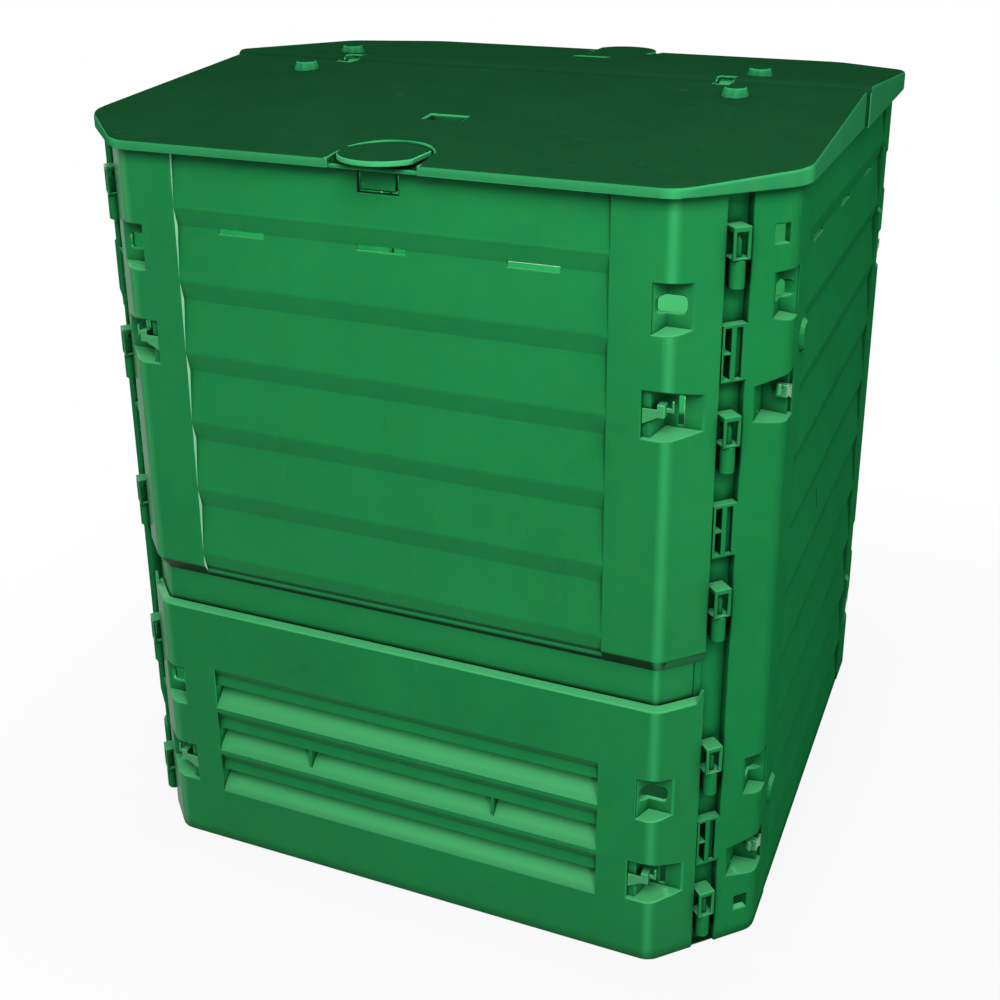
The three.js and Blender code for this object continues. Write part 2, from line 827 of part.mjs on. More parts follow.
function clip(bottom) {
  const outer = cornerStart - clipReach
  const past = cornerStart + clipPast
  const blockStart = past - clipBlockWidth * 2
  const blockEnd = blockStart + clipBlockWidth
  const armLow = bottom + clipBlockTop - clipArmHeight * 2
  const face = clipSetBack - faceHalf
  const tongue = prismAlongY([
    [outer, bottom + clipTongueLow], [blockStart + bite, bottom + clipNeckLow],
    [blockStart + bite, bottom + clipTongueHigh], [outer, bottom + clipTongueHigh]],
  face, face + clipThickness)
  const block = box(
    blockStart, blockEnd, face, face + clipBlockDepth, bottom + clipNeckLow, bottom + clipBlockTop)
  const hook = prismAlongY([
    [blockEnd - bite, armLow], [past, armLow], [past, bottom + clipHookTop],
    [past - clipArmHeight / 2, bottom + clipHookTop], [past - clipArmHeight / 2, armLow + clipArmHeight],
    [blockEnd - bite, armLow + clipArmHeight]],
  face + clipArmDepth, face + clipArmDepth + clipArmThickness)
  const centre = cornerStart - stemPlace
  const half = stemWidth / 2
  const back = wallThickness + gap - faceHalf
  const low = bottom + stemBottom
  const stem = box(
    centre - half, centre + half, face + clipThickness - bite, back + bite, low, low + stemHeight)
  const head = box(
    centre - half - headOversize, centre + half, back, back + headThickness,
    low - headOversize, low + stemHeight + headOversize)
  return joined([tongue, block, hook, stem, head])
}

// Lid halves

function lidLine(offset, radius) {
  const half = faceHalf + offset
  const mainCorner = cornerStart + offset * Math.tan(Math.PI / 8)
  const cut = radius * Math.tan(Math.PI / 8)
  const right = [
    ...arc(mainCorner - cut, radius - half, radius, -Math.PI / 2, -Math.PI / 4, lidRoundSteps),
    ...arc(half - radius, cut - mainCorner, radius, -Math.PI / 4, 0, lidRoundSteps),
    [half, -seamHalf]]
  return [...mirroredLine(right), ...right]
}

function lidCrown(half) {
  const axisY = -axisReach(half)
  const radius = half.noseRadius
  const out = -faceHalf - half.overhang - overrun
  return [
    [out, lidSkirtBottom - overrun], [out, topAt(half, out)],
    ...arc(axisY, hingeHeight, radius, Math.PI / 2, 0, noseSteps), [axisY + radius, lidSkirtBottom - overrun]]
}

function noseOutline(half) {
  const axisY = -axisReach(half)
  const outer = arc(axisY, hingeHeight, half.noseRadius, Math.PI / 2, 0, noseSteps)
  const inner = arc(axisY, hingeHeight, half.noseRadius - noseShell, 0, Math.PI / 2, noseSteps)
  return [...outer, ...inner]
}

function wellOutline(half, radius) {
  const centreY = knobSetBack - faceHalf
  const front = -faceHalf - half.overhang - overrun
  return [[radius, front], ...arc(0, centreY, radius, 0, Math.PI, wellSides), [-radius, front]]
}

function lidFront(half) {
  return -faceHalf - half.overhang
}

// The sloping plate, its skirt and the rounded bar along the seam
function lidShell(half, crown) {
  const plateHigh = y => topAt(half, y)
  const plateLow = y => topAt(half, y) - lidThickness
  const soft = lidEdge * lidEdgeShare
  const rim = sweep([
    [0, lidSkirtBottom], [0, y => topAt(half, y) - lidEdge], [soft, y => topAt(half, y) - soft],
    [lidEdge, plateHigh], [rimWidth, plateHigh], [rimWidth, plateLow],
    [lidThickness, plateLow], [lidThickness, lidSkirtBottom]],
  inset => lidLine(half.overhang - inset, lidRound - inset))
  const front = lidFront(half)
  const axisY = -axisReach(half)
  const inside = prismUp(
    lidLine(half.overhang - lidThickness, lidRound - lidThickness), lidSkirtBottom, wallTop)
  const slab = prismAlongX([
    [front, plateLow(front)], [axisY, plateLow(axisY)],
    [axisY, plateHigh(axisY)], [front, plateHigh(front)]], -bodyWidth, bodyWidth)
  const reach = faceHalf + half.overhang - lidThickness
  const nose = prismAlongX(noseOutline(half), -reach, reach)
  return toSolid(rim).intersect(crown).add(toSolid(inside).intersect(toSolid(slab))).add(toSolid(nose))
}

// The wall and floor of the knob's well
function lidWell(half, crown) {
  const low = shelfBottom(half)
  return toSolid(prismUp(wellOutline(half, wellRadius + wellWall), low, wallTop))
    .intersect(crown)
    .intersect(toSolid(prismUp(lidLine(half.overhang, lidRound), low, wallTop)))
}

function panBox(wall, z0, z1) {
  return box(
    -panWidth / 2 - wall, panWidth / 2 + wall,
    -panPlace - panLength / 2 - wall, -panPlace + panLength / 2 + wall, z0, z1)
}

function knuckle(half, side) {
  const inner = side * (lugWidth / 2 + lugGap)
  const outer = inner + side * knuckleWidth
  return rodAlongX(
    -axisReach(half), hingeHeight, half.noseRadius,
    hingePlace + Math.min(inner, outer), hingePlace + Math.max(inner, outer), roundSides)
}

// A stand-off that the other half rests on when it is folded over
function bump(half) {
  const deep = bumpHeight + lidThickness / 2
  const geometry = new THREE.CylinderGeometry(bumpTopRadius, bumpRadius, deep, bumpSides)
  return geometry.rotateX(Math.PI / 2).translate(
    bumpPlaceX, -bumpPlaceY, topAt(half, bumpPlaceY) + bumpHeight - deep / 2)
}

function lidHalf(half) {
  const crown = toSolid(prismAlongX(lidCrown(half), -bodyWidth, bodyWidth))
  const panTop = topAt(half, panPlace)
  const knuckles = [knuckle(half, -1), knuckle(half, 1)]
  const solid = lidShell(half, crown).add(lidWell(half, crown)).add(joined([
    panBox(panWall, panTop - panDepth - panWall, panTop - lidThickness / 2),
    ...knuckles.flatMap(bothSides), ...bothSides(bump(half))]))
  const front = lidFront(half)
  const axisY = -axisReach(half)
  const shelfLow = shelfBottom(half)
  const shelfTop = shelfLow + shelfThickness
  const lugHalf = lugWidth / 2 + lugGap
  const boreReach = lugHalf + knuckleWidth + overrun
  return carved(solid, [
    prismUp(wellOutline(half, wellRadius), shelfTop, wallTop + overrun),
    box(
      -wellRadius, wellRadius, front - overrun, front + shelfSetBack,
      lidSkirtBottom - overrun, wallTop),
    postUp(
      0, knobSetBack - faceHalf, spindleRadius + spindleGap,
      shelfLow - overrun, shelfTop + overrun, roundSides),
    panBox(0, panTop - panDepth, panTop + overrun),
    ...bothSides(box(
      hingePlace - lugHalf, hingePlace + lugHalf, axisY - half.noseRadius, -seamHalf + overrun,
      hingeHeight - half.noseRadius - overrun, wallTop + overrun)),
    ...bothSides(rodAlongX(
      axisY, hingeHeight, hingeBoreRadius, hingePlace - boreReach, hingePlace + boreReach, boreSides))])
}

// Beam with hinge lugs, and hinge pins

function lug(axisY) {
  const low = beamTop - beamWall
  const dome = arc(axisY, hingeHeight, lugRadius, 0, Math.PI, roundSides / 2)
  return prismAlongX(
    [[axisY - lugRadius, low], [axisY + lugRadius, low], ...dome],
    hingePlace - lugWidth / 2, hingePlace + lugWidth / 2)
}

function beam() {
  const low = beamTop - beamHeight
  const inner = beamHalfWidth - beamWall
  const length = faceHalf - beamEndGap
  const bar = prismAlongX([
    [-beamHalfWidth, low], [-inner, low], [-inner, beamTop - beamWall], [inner, beamTop - beamWall],
    [inner, low], [beamHalfWidth, low], [beamHalfWidth, beamTop], [-beamHalfWidth, beamTop]], -length, length)
  const axes = [-axisReach(frontHalf), axisReach(rearHalf)]
  const solid = joined([bar, ...axes.map(lug).flatMap(bothSides)])
  return carved(solid, axes.map(axisY => {
    return rodAlongX(axisY, hingeHeight, hingeBoreRadius, -bodyWidth, bodyWidth, boreSides)
  }))
}

function hingePin() {
  const reach = lugWidth / 2 + lugGap + knuckleWidth + pinOverhang
  return toSolid(rodAlongX(0, 0, hingePinRadius, -reach, reach, boreSides))
}

// Knobs

function knob(half) {
  const shelfTop = shelfBottom(half) + shelfThickness
  const top = shelfBottom(half) + knobTopRise
  const discLow = top - knobThickness
  const noseTop = shelfBottom(half) - gap - ledgeDrop - ledgeHeight - noseGap
  const tail = noseTop - noseHeight - spindleTail
  const beadTop = shelfBottom(half) - gap * 2 - retainerThickness
  const beadLow = beadTop - beadHeight
  const shaft = turned([
    [0, tail], [spindleRadius, tail], [spindleRadius, beadLow], [beadRadius, beadLow],
    [beadRadius, beadTop], [spindleRadius, beadTop], [spindleRadius, shelfTop + bite],
    [0, shelfTop + bite]], roundSides)
  const disc = turned([
    [0, shelfTop + gap], [knobBossRadius, shelfTop + gap], [knobBossRadius, discLow], [knobRadius, discLow],
    [knobRadius, top - knobEdge], [knobRadius - knobEdge, top], [0, top]], knobSides)
  const nose = box(0, noseLength, -noseWidth / 2, noseWidth / 2, noseTop - noseHeight, noseTop)
  const flat = box(knobFlat, knobRadius + overrun, -knobRadius, knobRadius, discLow - bite, top + overrun)
  return carved(joined([shaft, disc, nose]), [flat])
}

function retainer(half) {
  const high = shelfBottom(half) - gap
  const low = high - retainerThickness
  const ring = [
    [spindleRadius + gap, low], [retainerRadius, low], [retainerRadius, high],
    [spindleRadius + gap, high], [spindleRadius + gap, low]]
  return toSolid(turned(ring, roundSides))
}

// Assembly

const wallGreen = new THREE.MeshStandardMaterial({ color: 0x2a8f55, roughness: 0.55, metalness: 0 })
const doorGreen = new THREE.MeshStandardMaterial({ color: 0x27874f, roughness: 0.55, metalness: 0 })
const lidGreen = new THREE.MeshStandardMaterial({ color: 0x1c5f36, roughness: 0.6, metalness: 0 })
const clipGreen = new THREE.MeshStandardMaterial({ color: 0x2f9a5d, roughness: 0.5, metalness: 0 })
const innerGreen = new THREE.MeshStandardMaterial({ color: 0x1f7a45, roughness: 0.6, metalness: 0 })

const group = new THREE.Group()

function place(name, geometry, material, quarterTurns = 0, position = [0, 0, 0]) {
  const mesh = new THREE.Mesh(geometry, material)
  mesh.name = name
  mesh.rotation.z = quarterTurns * Math.PI / 2
  mesh.position.set(...position)
  group.add(mesh)
  return mesh
}

place('right_wall', toGeometry(sideWall(-1)), wallGreen, 1)
place('left_wall', toGeometry(sideWall(1)), wallGreen, -1)
place('front_upper_wall', toGeometry(upperWall(frontHalf)), wallGreen)
place('back_upper_wall', toGeometry(upperWall(rearHalf)), wallGreen, 2)

const doorGeometry = toGeometry(door())
place('front_door', doorGeometry, doorGreen)
place('back_door', doorGeometry, doorGreen, 2)

const clipGeometries = clipHeights.map(bottom => toGeometry(clip(bottom)))
const clipSides = [['front', 0], ['right', 1], ['back', 2], ['left', -1]]
const clipLevels = ['upper', 'lower']
for (const [side, turns] of clipSides) {
  clipLevels.forEach((level, row) => {
    const name = `${side}_${level}_clip`
    place(`${name}_a`, clipGeometries[row], clipGreen, turns)
    place(`${name}_b`, toGeometry(toSolid(mirrored(clipGeometries[row]))), clipGreen, turns)
  })
}

place('ridge_beam', toGeometry(beam()), innerGreen)
const pinGeometry = toGeometry(hingePin())
const hingeAxes = [['front', -axisReach(frontHalf)], ['rear', axisReach(rearHalf)]]
for (const [side, axisY] of hingeAxes) {
  place(`${side}_hinge_pin_left`, pinGeometry, innerGreen, 0, [-hingePlace, axisY, hingeHeight])
  place(`${side}_hinge_pin_right`, pinGeometry, innerGreen, 0, [hingePlace, axisY, hingeHeight])
}

const lidHalves = [['front', frontHalf, 0], ['rear', rearHalf, 2]]
for (const [side, half, turns] of lidHalves) {
  place(`${side}_lid`, toGeometry(lidHalf(half)), lidGreen, turns)
  const reach = (faceHalf - knobSetBack) * (turns === 0 ? -1 : 1)
  place(`${side}_knob`, toGeometry(knob(half)), lidGreen, turns, [0, reach, 0])
  place(`${side}_knob_retainer`, toGeometry(retainer(half)), innerGreen, turns, [0, reach, 0])
}

export default group
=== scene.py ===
"""Looks of the compost bin: rounded edges, moulded plastic, mould marks and a plain studio."""

import json
import math

import bmesh
import bpy
from bpy.props import FloatProperty, FloatVectorProperty, IntProperty, PointerProperty
from bpy.types import Operator, Panel, PropertyGroup
from mathutils import Euler, Matrix, Vector
from mathutils.bvhtree import BVHTree
from mathutils.kdtree import KDTree


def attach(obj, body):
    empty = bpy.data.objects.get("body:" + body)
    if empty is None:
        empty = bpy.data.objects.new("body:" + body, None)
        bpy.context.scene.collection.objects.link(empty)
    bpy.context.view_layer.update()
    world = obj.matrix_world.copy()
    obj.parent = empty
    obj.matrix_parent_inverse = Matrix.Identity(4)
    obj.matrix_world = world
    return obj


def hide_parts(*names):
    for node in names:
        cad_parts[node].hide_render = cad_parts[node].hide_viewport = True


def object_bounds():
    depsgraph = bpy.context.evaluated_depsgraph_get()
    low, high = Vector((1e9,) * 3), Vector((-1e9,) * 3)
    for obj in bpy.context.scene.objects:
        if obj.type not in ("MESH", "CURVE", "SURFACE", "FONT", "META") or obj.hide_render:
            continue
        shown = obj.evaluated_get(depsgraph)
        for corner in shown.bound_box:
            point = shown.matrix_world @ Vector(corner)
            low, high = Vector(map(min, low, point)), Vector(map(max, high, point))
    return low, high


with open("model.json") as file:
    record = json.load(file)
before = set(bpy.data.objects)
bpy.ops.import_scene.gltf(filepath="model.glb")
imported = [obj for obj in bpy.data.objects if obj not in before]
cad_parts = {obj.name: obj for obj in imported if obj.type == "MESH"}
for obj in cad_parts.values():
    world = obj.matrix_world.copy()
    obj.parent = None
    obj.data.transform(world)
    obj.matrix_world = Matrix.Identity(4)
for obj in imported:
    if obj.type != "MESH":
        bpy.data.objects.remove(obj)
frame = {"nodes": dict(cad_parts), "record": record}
cad_box = [list(corner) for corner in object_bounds()]

bl_info = {
    "name": "Compost bin looks",
    "version": (1, 0, 0),
    "blender": (4, 5, 0),
    "location": "View3D > Sidebar > Bin",
    "description": "Dresses the packed compost bin in moulded plastic and lights it",
    "category": "Object",
}

MM = 0.001

# How a copy of a solid is cleaned: points that are welded, and faces that are joined as flat
WELD = 0.002 * MM
FLAT_ANGLE = math.radians(0.3)
QUAD = 4
BEVEL_WEIGHT = "bevel_weight_edge"

# How much of the room beside an edge its rounding takes, the share of its full width below which it
# is left sharp, and the turn below which an edge at its end runs on from it
ROOM_SHARE = 0.38
LEAST_WEIGHT_SHARE = 0.2
RUNS_ON = math.radians(30)

# A rounding that turns a face of this area over is taken back, as far as this many roundings away
LEAST_FOLD = 0.2 * MM * MM
FOLD_REACH = 1.3
EASING_ROUNDS = 8
LARGE_FACES_LEAD = 95

# An edge is smooth below the soft angle, and below the short angle if it is shorter than the length
WALL_CREASE = {"soft": math.radians(12), "short": math.radians(44), "length": 40 * MM}
SCOOP_CREASE = {"soft": math.radians(26), "short": math.radians(41), "length": 40 * MM}
ROUND_CREASE = {"soft": math.radians(46), "short": math.radians(46), "length": 40 * MM}

# Which faces get a second finish: those that face almost straight along an axis, at the ends of the
# slat field, where that finish is a pale painted highlight, or along the lid's ridge
STRAIGHT = 0.88
FIELD_END = 0.2215
FIELD_REACH = 2 * MM
RIDGE_HALF = 18 * MM

# Heights between which the painted shadow band behind a door's top edge ends, and the foot of the
# slit round the catch on the front and on the back wall, round which shade is painted
DOOR_LINE = (298.5 * MM, 304 * MM)
SLIT_FEET = (774.5 * MM, 778.5 * MM)

# Mould marks: how far they sink into the surface, their places, and where the rays for them start
MARK_SINK = 0.15 * MM
RING_STEPS = 24
RIB_EDGE_SHARE = 1 / 3
WALL_GATE_UP = 548.2 * MM
DOOR_GATE_UP = 163.4 * MM
RIB_ALONG, RIB_UP = 53 * MM, 398.3 * MM
DOT_ALONG, DOT_UP = 72.5 * MM, 379.8 * MM
FAR = 1.0

# The floor's fade to white: an octagon, mostly white just outside the bin and wholly further out
OCTAGON_SHARE = 0.5476
FLOOR_EDGE = 1 * MM
NEAR_WHITE, FAR_WHITE = 0.9, 0.1
FAR_WHITE_REACH = 2.5

# Soft boxes: name, place, size and the setting that holds their power
SOFT_BOXES = (
    ("key soft box", (0.55, -1.45, 2.05), (1.7, 1.1), "key_power"),
    ("fill soft box", (-2.1, -1.3, 0.9), (1.2, 1.2), "fill_power"),
    ("side soft box", (1.9, -0.6, 2.0), (0.8, 0.8), "side_power"),
    ("strip", (1.7, -2.1, 0.45), (0.2, 0.9), "strip_power"),
    ("rear soft box", (-0.3, 2.4, 1.8), (2.0, 1.4), "rear_power"),
    ("left soft box", (-2.4, 0.5, 1.4), (1.4, 1.2), "left_power"),
)
INNER_LAMP_RADIUS = 0.1

SIDE_WALLS = ("right_wall", "left_wall")
UPPER_WALLS = ("front_upper_wall", "back_upper_wall")
DOORS = ("front_door", "back_door")
LIDS = ("front_lid", "rear_lid")
KNOBS = ("front_knob", "rear_knob")
RETAINERS = ("front_knob_retainer", "rear_knob_retainer")
CLIPS = tuple(sorted(name for name in frame["nodes"] if "_clip_" in name))
PINS = tuple(sorted(name for name in frame["nodes"] if "_hinge_pin_" in name))
BODIES = frame["record"]["behaviour"]["bodies"]
BODY_OF = {node: body for body, nodes in BODIES.items() for node in nodes}


def linear(*levels):
    """Scene-linear colour of three display levels from 0 to 255."""
    shares = [level / 255 for level in levels]
    return tuple(s / 12.92 if s <= 0.04045 else ((s + 0.055) / 1.055) ** 2.4 for s in shares)


class Value:
    """A value socket of a node tree, so that sums and products of it add Math nodes."""

    def __init__(self, tree, socket):
        self.tree = tree
        self.socket = socket

    def math(self, operation, *others, clamp=False):
        """The value as the first term of a Math node."""
        return self.tree.node("ShaderNodeMath", {"operation": operation, "use_clamp": clamp},
                              dict(enumerate((self, *others))))

    def __add__(self, other):
        return self.math("ADD", other)

    __radd__ = __add__

    def __sub__(self, other):
        return self.math("SUBTRACT", other)

    def __rsub__(self, other):
        return self.math("MULTIPLY_ADD", -1.0, other)

    def __mul__(self, other):
        return self.math("MULTIPLY", other)

    __rmul__ = __mul__

    def kept(self):
        """The value held between 0 and 1."""
        return self.math("ADD", 0, clamp=True)

    def above(self, low, high):
        """0 under low, 1 over high and a straight ramp between them."""
        return ((self - low) * (1 / (high - low))).kept()


class Tree:
    """A node tree that is built from nothing."""

    def __init__(self, tree):
        self.tree = tree
        tree.nodes.clear()

    def node(self, kind, settings=None, inputs=None, output=0):
        """Adds a node: first its settings, then values or links for its sockets."""
        made = self.tree.nodes.new(kind)
        for name, value in (settings or {}).items():
            setattr(made, name, value)
        for name, value in (inputs or {}).items():
            if isinstance(value, Value):
                self.tree.links.new(value.socket, made.inputs[name])
            else:
                made.inputs[name].default_value = value
        return Value(self, made.outputs[output]) if made.outputs else made

    def place(self, output="Object"):
        """The place in the object's own coordinates, or another output of Texture Coordinate."""
        return self.node("ShaderNodeTexCoord", output=output)

    def part(self, vector, axis):
        """The share of a vector along X, Y or Z."""
        return self.node("ShaderNodeSeparateXYZ", {}, {0: vector}, output=axis)

    def seen(self):
        """1 where the camera, gloss or glass looks at the surface, and 0 for other rays."""
        camera = self.node("ShaderNodeLightPath", output="Is Camera Ray")
        glossy = self.node("ShaderNodeLightPath", output="Is Glossy Ray")
        through = self.node("ShaderNodeLightPath", output="Is Transmission Ray")
        return camera + glossy + through

    def noise(self, scale, detail, roughness=0.5, stretch=(1, 1, 1), shift=(0, 0, 0)):
        """Noise from 0 to 1 over the object's own coordinates, in metres."""
        mapped = self.node("ShaderNodeMapping", {"vector_type": "POINT"},
                           {"Vector": self.place(), "Scale": stretch, "Location": shift})
        return self.node("ShaderNodeTexNoise", {"noise_dimensions": "3D"}, {
            "Vector": mapped, "Scale": scale, "Detail": detail, "Roughness": roughness})

    def mix(self, share, first, second):
        """The first colour where the share is 0, and the second where it is 1."""
        return self.node("ShaderNodeMix", {"data_type": "RGBA", "blend_type": "MIX"},
                         {"Factor": share, "A": first, "B": second}, output="Result")


def opaque(colour):
    return (*colour, 1)


def clouded(tree, colour, look, clouds, scuffed):
    """The colour with clouds, flow marks, specks, sun-bleached mottling and pale scuffs."""
    flow = tree.noise(**look["flow"])
    specks = tree.noise(**look["specks"])
    shade = (clouds - NOISE_MIDDLE) * look["cloud_depth"]
    shade = shade + (flow - NOISE_MIDDLE) * look["flow_depth"]
    shade = shade + (specks - NOISE_MIDDLE) * look["speck_depth"]
    deep = [level * look["deep_share"] for level in colour]
    pale = [level * look["pale_share"] for level in colour]
    base = tree.mix((shade + NOISE_MIDDLE).kept(), opaque(deep), opaque(pale))
    mottled = tree.noise(**look["mottle"]).above(*look["mottle_range"])
    sunned = [level * share for level, share in zip(colour, look["sunned_shares"])]
    base = tree.mix(mottled * look["mottle_share"], base, opaque(sunned))
    return tree.mix(scuffed * look["scuff_pale_share"], base, opaque(look["scuff_colour"]))


def behind_door(tree, look, upward, painted_shade):
    """Paints shadow at a wall's foot behind the door, and shade on its lip above it and in the
    catch's slit.
    """
    place = tree.place()
    up = tree.part(place, "Z")
    painted_shade = (painted_shade + (1 - up.above(*look["painted_door_shadow_line"])) * look["painted_door_shadow_share"]).kept()
    lip = (0 - upward).above(*look["painted_lip_shade_range"]) * (1 - up.above(*look["painted_lip_shade_line"]))
    painted_shade = (painted_shade + lip * look["painted_lip_shade_share"]).kept()
    aside = tree.part(place, "X").math("ABSOLUTE")
    beyond = (aside - look["slit_half"]).math("MAXIMUM", look["slit_foot"] - up)
    off_slit = beyond.math("ABSOLUTE").above(*look["slit_reach"])
    return (painted_shade + (1 - off_slit) * look["painted_slit_shade_share"]).kept()


def corner_highlight(tree, look, open_sky):
    """1 on the open, rounded upright corners, which get a painted highlight, and 0 on the rest."""
    turned = tree.node("ShaderNodeVectorMath", {"operation": "ABSOLUTE"}, {0: tree.place("Normal")})
    turn = tree.part(turned, "X") * tree.part(turned, "Y")
    corner = turn.above(*look["highlight_turn_from"]) * (1 - turn.above(*look["highlight_turn_to"]))
    return corner * open_sky.above(*look["highlight_open"])


def moulded(name, colour, look):
    """Moulded plastic: clouded colour, painted light on ledges, painted shade, fine grain, painted
    corner highlights.
    """
    material = bpy.data.materials.new(name)
    material.use_nodes = True
    tree = Tree(material.node_tree)
    clouds = tree.noise(**look["clouds"])
    scuffed = tree.noise(**look["scuffs"]).above(*look["scuff_range"])
    base = clouded(tree, colour, look, clouds, scuffed)
    open_sky = tree.node("ShaderNodeAmbientOcclusion", {"samples": look["painted_shade_samples"]},
                         {"Distance": look["painted_shade_reach"]}, output="AO")
    facing = tree.node("ShaderNodeVectorTransform", {
        "vector_type": "NORMAL", "convert_from": "WORLD", "convert_to": "OBJECT"},
        {0: tree.node("ShaderNodeNewGeometry", output="True Normal")})
    upward = tree.part(facing, "Z")
    # Upward faces turn paler: painted light from above
    painted_top_light = upward.above(*look["top_light_range"])
    base = tree.mix(painted_top_light * look["top_light_share"], base, opaque(look["top_light_colour"]))
    # Hollows, creases and gaps that ambient occlusion finds turn darker: painted shade, less on
    # upward faces
    painted_shade = (1 - open_sky.above(*look["painted_shade_range"])) * look["painted_shade_share"]
    painted_shade = painted_shade * (1 - painted_top_light * look["top_light_unshaded"])
    # Downward faces turn darker: painted shade
    painted_shade = (painted_shade + (0 - upward).above(*look["painted_under_shade_range"]) * look["painted_under_shade_share"]).kept()
    if look["painted_door_shadow_line"]:
        painted_shade = behind_door(tree, look, upward, painted_shade)
    base = tree.mix(painted_shade, base, opaque(look["painted_shade_colour"]))
    # Open, rounded upright corners turn paler: painted highlight
    if look["corner_highlight_share"]:
        painted_highlight = corner_highlight(tree, look, open_sky) * look["corner_highlight_share"]
        base = tree.mix(painted_highlight, base, opaque(look["corner_highlight_colour"]))
    rough = look["roughness"] + (clouds - NOISE_MIDDLE) * look["rough_depth"]
    rough = (rough + scuffed * look["scuff_rough"]).kept()
    relief = tree.noise(**look["waves"]) * look["wave_depth"]
    relief = relief + tree.noise(**look["grain"]) * look["grain_depth"]
    bump = tree.node("ShaderNodeBump", {}, {"Strength": 1.0, "Distance": 1.0, "Height": relief})
    shader = tree.node("ShaderNodeBsdfPrincipled", {"distribution": "GGX"}, {
        "Base Color": base, "Roughness": rough, "Normal": bump,
        "Specular IOR Level": look["specular"], "IOR": look["ior"]})
    tree.node("ShaderNodeOutputMaterial", {}, {"Surface": shader})
    return material


# The finish of the mouldings, and what the finishes of some of them change in it
NOISE_MIDDLE = 0.5
PLASTIC = {
    "clouds": {"scale": 9.0, "detail": 4, "roughness": 0.6},
    "cloud_depth": 0.9,
    "flow": {"scale": 5.0, "detail": 3, "stretch": (3, 3, 0.6), "shift": (3, 5, 7)},
    "flow_depth": 0.55,
    "specks": {"scale": 420.0, "detail": 1, "shift": (9, 2, 4)},
    "speck_depth": 0.16,
    "deep_share": 0.82,
    "pale_share": 1.16,
    "mottle": {"scale": 48.0, "detail": 4, "roughness": 0.65, "shift": (2, 6, 1)},
    "mottle_range": (0.42, 0.64),
    "mottle_share": 0.5,
    "sunned_shares": (1.5, 1.05, 0.86),
    "scuffs": {"scale": 26.0, "detail": 5, "roughness": 0.7, "stretch": (1, 1, 0.35)},
    "scuff_range": (0.63, 0.78),
    "scuff_pale_share": 0.06,
    "scuff_colour": linear(120, 190, 140),
    "scuff_rough": 0.10,
    "grain": {"scale": 1100.0, "detail": 2, "roughness": 0.6},
    "grain_depth": 0.00002,
    "waves": {"scale": 7.0, "detail": 1, "shift": (1, 8, 3)},
    "wave_depth": 0.0011,
    "roughness": 0.38,
    "rough_depth": 0.14,
    "specular": 0.0,
    "ior": 1.5,
    # Painted shade in the hollows, creases and gaps that ambient occlusion finds
    "painted_shade_samples": 4,
    "painted_shade_reach": 16 * MM,
    "painted_shade_range": (0.42, 0.92),
    "painted_shade_share": 0.95,
    "painted_shade_colour": linear(5, 28, 15),
    # Painted shade on downward faces
    "painted_under_shade_range": (0.35, 0.75),
    "painted_under_shade_share": 0.6,
    # Painted shadow at a wall's foot behind a door, and painted shade on the downward lip above it
    # and round the catch's slit
    "painted_door_shadow_line": None,
    "painted_door_shadow_share": 0.9,
    "painted_lip_shade_range": (0.05, 0.2),
    "painted_lip_shade_line": (350 * MM, 352 * MM),
    "painted_lip_shade_share": 0.7,
    "slit_half": 19.5 * MM,
    "slit_reach": (1.6 * MM, 2.4 * MM),
    "painted_slit_shade_share": 0.95,
    # Upward faces paled by painted light from above, with less painted shade on them
    "top_light_range": (0.25, 0.7),
    "top_light_share": 0.45,
    "top_light_colour": linear(90, 190, 125),
    "top_light_unshaded": 0.75,
    # Rounded upright corners paled as a painted highlight
    "highlight_turn_from": (0.02, 0.26),
    "highlight_turn_to": (0.34, 0.49),
    "highlight_open": (0.6, 0.95),
    "corner_highlight_share": 0.0,
    "corner_highlight_colour": linear(60, 175, 105),
    # How much paler edges worn by rubbing are: partly wear, partly painted highlight
    "rubbed_highlight_gain": 1.5,
}
RUBBED = {"roughness": 0.34, "corner_highlight_share": 0.0}
MATT = {"rubbed_highlight_gain": 1.0}
# A slight real sheen, and rounded corners paled as a painted highlight
SMOOTH_AND_HIGHLIT = {"specular": 0.05, "corner_highlight_share": 0.45}
# Rounded corners paled as a painted highlight; the specular level stays 0, so there is no real
# gloss
PAINTED_GLOSS = {"roughness": 0.36, "corner_highlight_share": 0.45, "top_light_share": 0.0}
GRAINED = {
    "roughness": 0.62,
    "grain": {"scale": 620.0, "detail": 2, "roughness": 0.6},
    "grain_depth": 0.00007,
    "scuff_pale_share": 0.05,
    "top_light_share": 0.0,
}


def wanted_room(edge, vertex):
    """How far a rounded edge can spread at one end before it meets what lies beside it."""
    along = (vertex.co - edge.other_vert(vertex).co).normalized()
    room = math.inf
    for other in vertex.link_edges:
        if other is edge:
            continue
        reach = other.other_vert(vertex).co - vertex.co
        turn = along.angle(reach, 0)
        beside = any(face in edge.link_faces for face in other.link_faces)
        if turn > RUNS_ON or beside:
            room = min(room, (reach - reach.dot(along) * along).length)
    return room


def crisp(edge, crease):
    """Whether an edge of the solid is a real corner and no facet of a round."""
    angle = edge.calc_face_angle(0)
    if angle < crease["soft"]:
        return False
    return angle >= crease["short"] or edge.calc_length() > crease["length"]


def plain(face):
    """The first finish on every face."""
    return 0


def highlit_slat_end(face):
    """The second finish, a pale painted highlight, on the upright ends of the slat field; the first
    on the rest.
    """
    at_end = abs(abs(face.calc_center_median().x) - FIELD_END) < FIELD_REACH
    return int(at_end and abs(face.normal.x) > STRAIGHT)


def grained(face):
    """The second finish on upward faces and along the ridge, and the first on the rest."""
    place = face.calc_center_median()
    along_ridge = abs(place.y) < RIDGE_HALF and abs(face.normal.y) > abs(face.normal.x)
    return int(face.normal.z > STRAIGHT or along_ridge)


